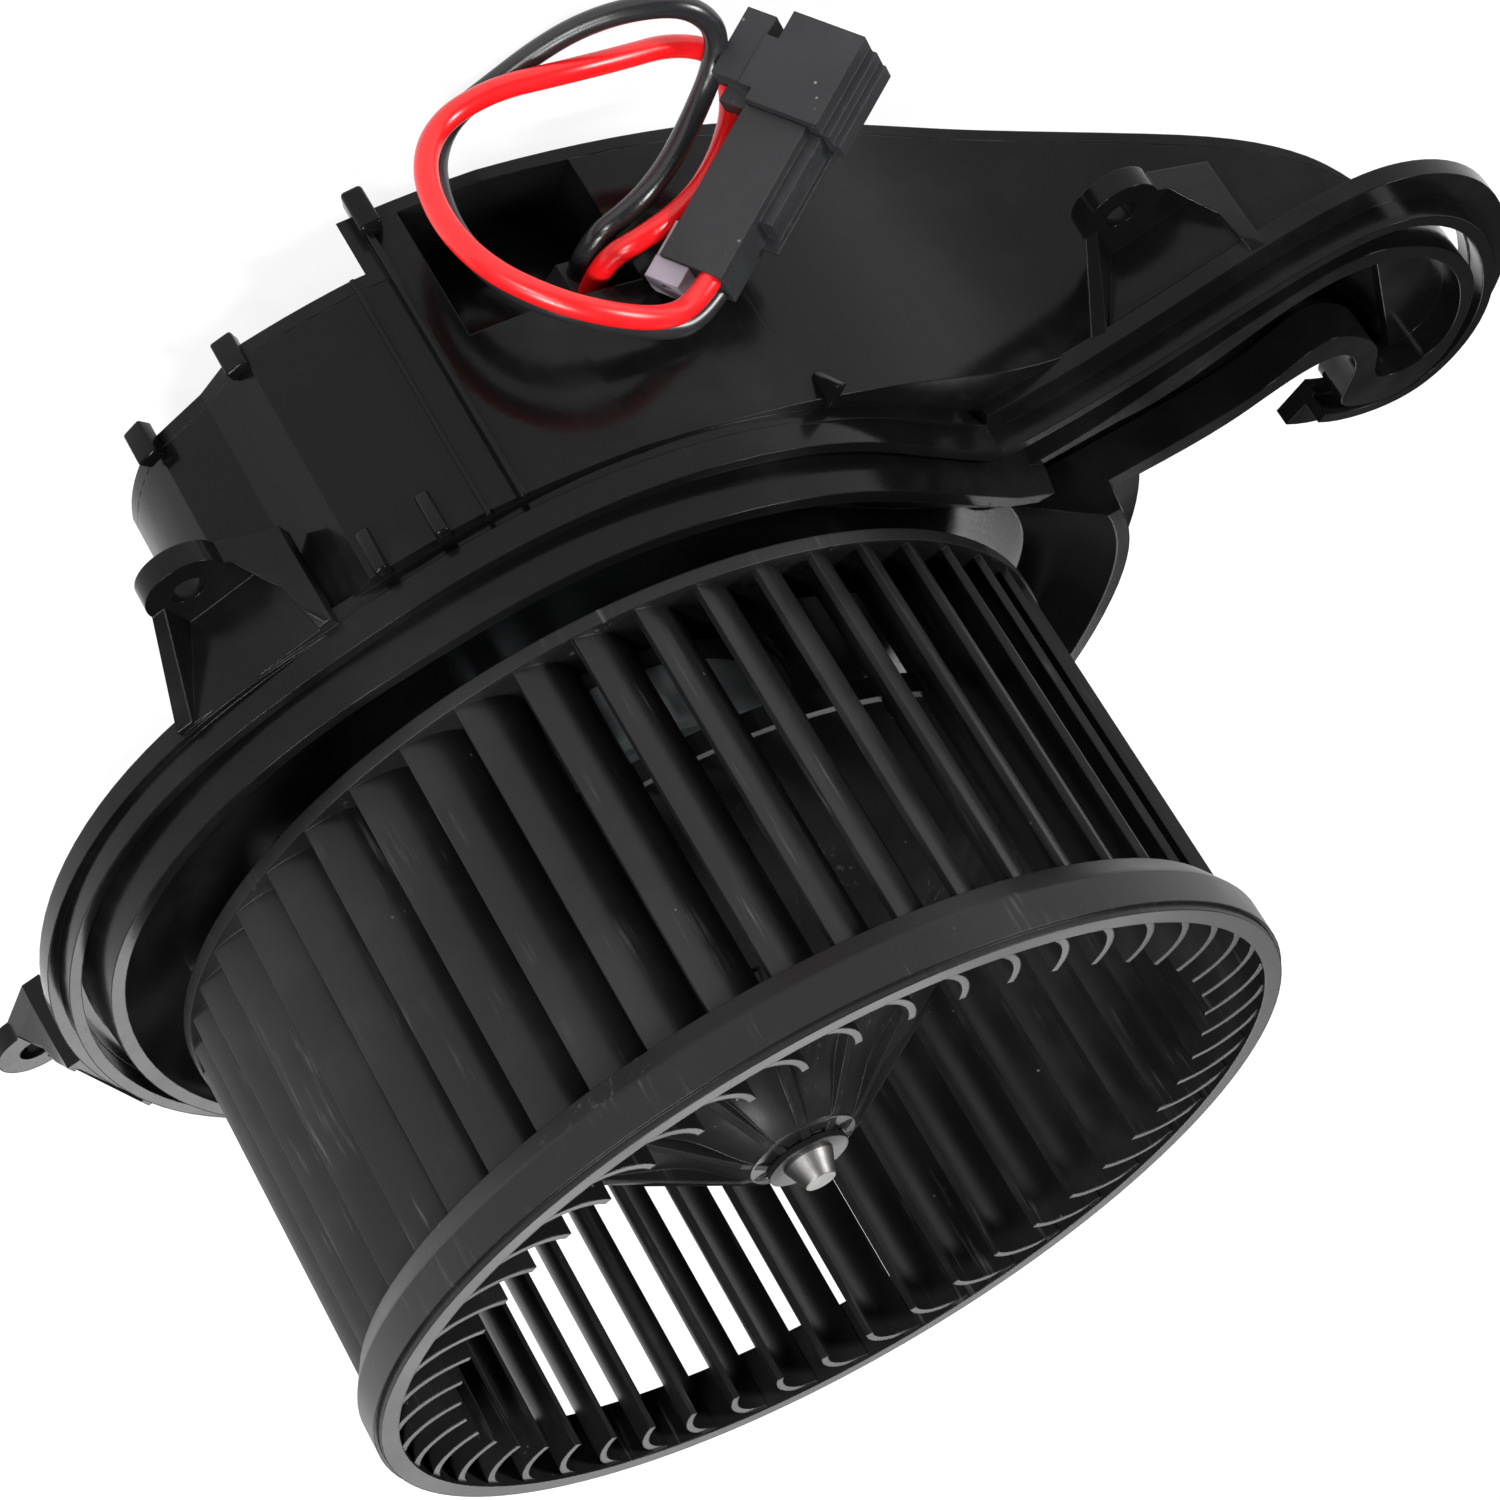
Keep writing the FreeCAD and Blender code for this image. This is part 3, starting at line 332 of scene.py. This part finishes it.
set_material(black, black_pvc)


# ---------------------------------------------------------------- small mouldings on the housing
BURIED = 1.2
ROUNDING = 0.28
# name, foot on the wall, outward direction, width, depth at the top and at the bottom, bottom, top
WALL_BLOCKS = [
    ("lobe_rib_sharp", (-15.3, -83.3), (-0.18, -0.98), 1.0, (0.9, 0.9), -54.4, -1.6),
    ("lobe_rib_fine", (-9.9, -84.2), (-0.11, -0.99), 0.7, (0.45, 0.45), -45.0, -1.6),
    ("edge_tab_ridge", (-15.9, -83.2), (-0.18, -0.98), 3.4, (2.4, 2.4), -57.6, -50.4),
    ("edge_tab_front", (10.0, -84.2), (0.14, -0.99), 3.6, (1.6, 1.6), -47.4, -41.5),
    ("edge_tab_side", (27.4, -76.2), (0.45, -0.89), 3.6, (1.6, 1.6), -47.4, -41.5),
    ("foot_gusset_a", (6.4, -84.3), (0.08, -1.0), 2.2, (2.8, 0.9), -9.8, -1.6),
    ("foot_gusset_b", (-3.2, -84.6), (-0.04, -1.0), 2.2, (2.8, 0.9), -9.8, -1.6),
    ("foot_gusset_c", (-59.4, -60.2), (-0.57, -0.82), 1.8, (4.0, 0.7), -7.0, -1.6),
]


def wall_block(name, foot, out, width, depths, low, high):
    """A rounded rib, tab or gusset that grows out of the housing's outer wall."""
    outward = Vector((*out, 0.0)).normalized()
    sideways = Vector((-outward.y, outward.x, 0.0)) * (width / 2)
    form = bmesh.new()
    rings = []
    for height, reach in zip((high, low), depths):
        centre = Vector((*foot, height))
        corners = ((-BURIED, -1), (reach, -1), (reach, 1), (-BURIED, 1))
        rings.append([form.verts.new((centre + outward * away + sideways * side) * MM)
                      for away, side in corners])
    top, bottom = rings
    form.faces.new(top)
    form.faces.new(bottom[::-1])
    for k in range(4):
        form.faces.new((top[k - 1], bottom[k - 1], bottom[k], top[k]))
    bmesh.ops.recalc_face_normals(form, faces=form.faces)
    bmesh.ops.bevel(form, geom=form.edges[:], offset=min(width, depths[0]) * ROUNDING * MM,
                    segments=3, profile=0.5, affect="EDGES")
    mesh = bpy.data.meshes.new(name)
    form.to_mesh(mesh)
    form.free()
    for face in mesh.polygons:
        face.use_smooth = True
    block = bpy.data.objects.new(name, mesh)
    collection.objects.link(block)
    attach(block, "stator")
    set_material(block, housing)


for block_values in WALL_BLOCKS:
    wall_block(*block_values)


# ---------------------------------------------------------------- floor and light
FLOOR_RADIUS = 6.0
FLOOR_GAP = 0.3 * MM
# name, place, target, size, power, width and height as parts of the size
LIGHTS = [
    ("key", (0.9, -0.9, 1.6), (0.0, 0.0, 0.0), 0.55, 46.0, (1.0, 1.0)),
    ("fill", (-1.6, -0.5, 0.9), (0.0, 0.0, 0.0), 0.5, 30.0, (1.0, 1.0)),
    ("rim", (0.2, 1.6, 1.1), (0.0, 0.0, 0.0), 0.9, 12.0, (1.0, 1.0)),
    ("strip", (0.35, -1.3, 0.75), (0.02, -0.05, 0.02), 0.28, 9.0, (0.5, 1.6)),
]


def make_floor():
    """A plain white studio floor, just under the lowest piece."""
    mesh = bpy.data.meshes.new("floor")
    form = bmesh.new()
    bmesh.ops.create_circle(form, cap_ends=True, segments=96, radius=FLOOR_RADIUS)
    form.to_mesh(mesh)
    form.free()
    floor = bpy.data.objects.new("floor", mesh)
    floor.location = (0.0, 0.0, cad_low.z - FLOOR_GAP)
    collection.objects.link(floor)
    paint = Shader("floor", (0.22, 0.22, 0.22), 0.9, Specular_IOR_Level=0.1,
                   Emission_Color=WHITE, Emission_Strength=0.88)
    tone = paint.mix(paint.noise(3.0, detail=2.0), (0.22, 0.22, 0.22), (0.2, 0.2, 0.201))
    paint.color(tone)
    set_material(floor, paint)


def area_light(name, place, target, size, power, shape):
    """A soft rectangular lamp aimed at the target."""
    data = bpy.data.lights.new(name, "AREA")
    data.shape = "RECTANGLE"
    data.size, data.size_y = size * shape[0], size * shape[1]
    data.energy = power
    light = bpy.data.objects.new(name, data)
    light.location = place
    aim = Vector(target) - Vector(place)
    light.rotation_euler = aim.to_track_quat("-Z", "Y").to_euler()
    collection.objects.link(light)


def make_world():
    """A dim, even surround, so that most of the light comes from the lamps and the floor."""
    world = bpy.data.worlds.new("studio")
    scene.world = world
    world.use_nodes = True
    background = world.node_tree.nodes["Background"]
    background.inputs["Color"].default_value = WHITE
    background.inputs["Strength"].default_value = 0.1


make_floor()
make_world()
for light_values in LIGHTS:
    area_light(*light_values)
scene.view_settings.view_transform = "Standard"
scene.view_settings.look = "None"
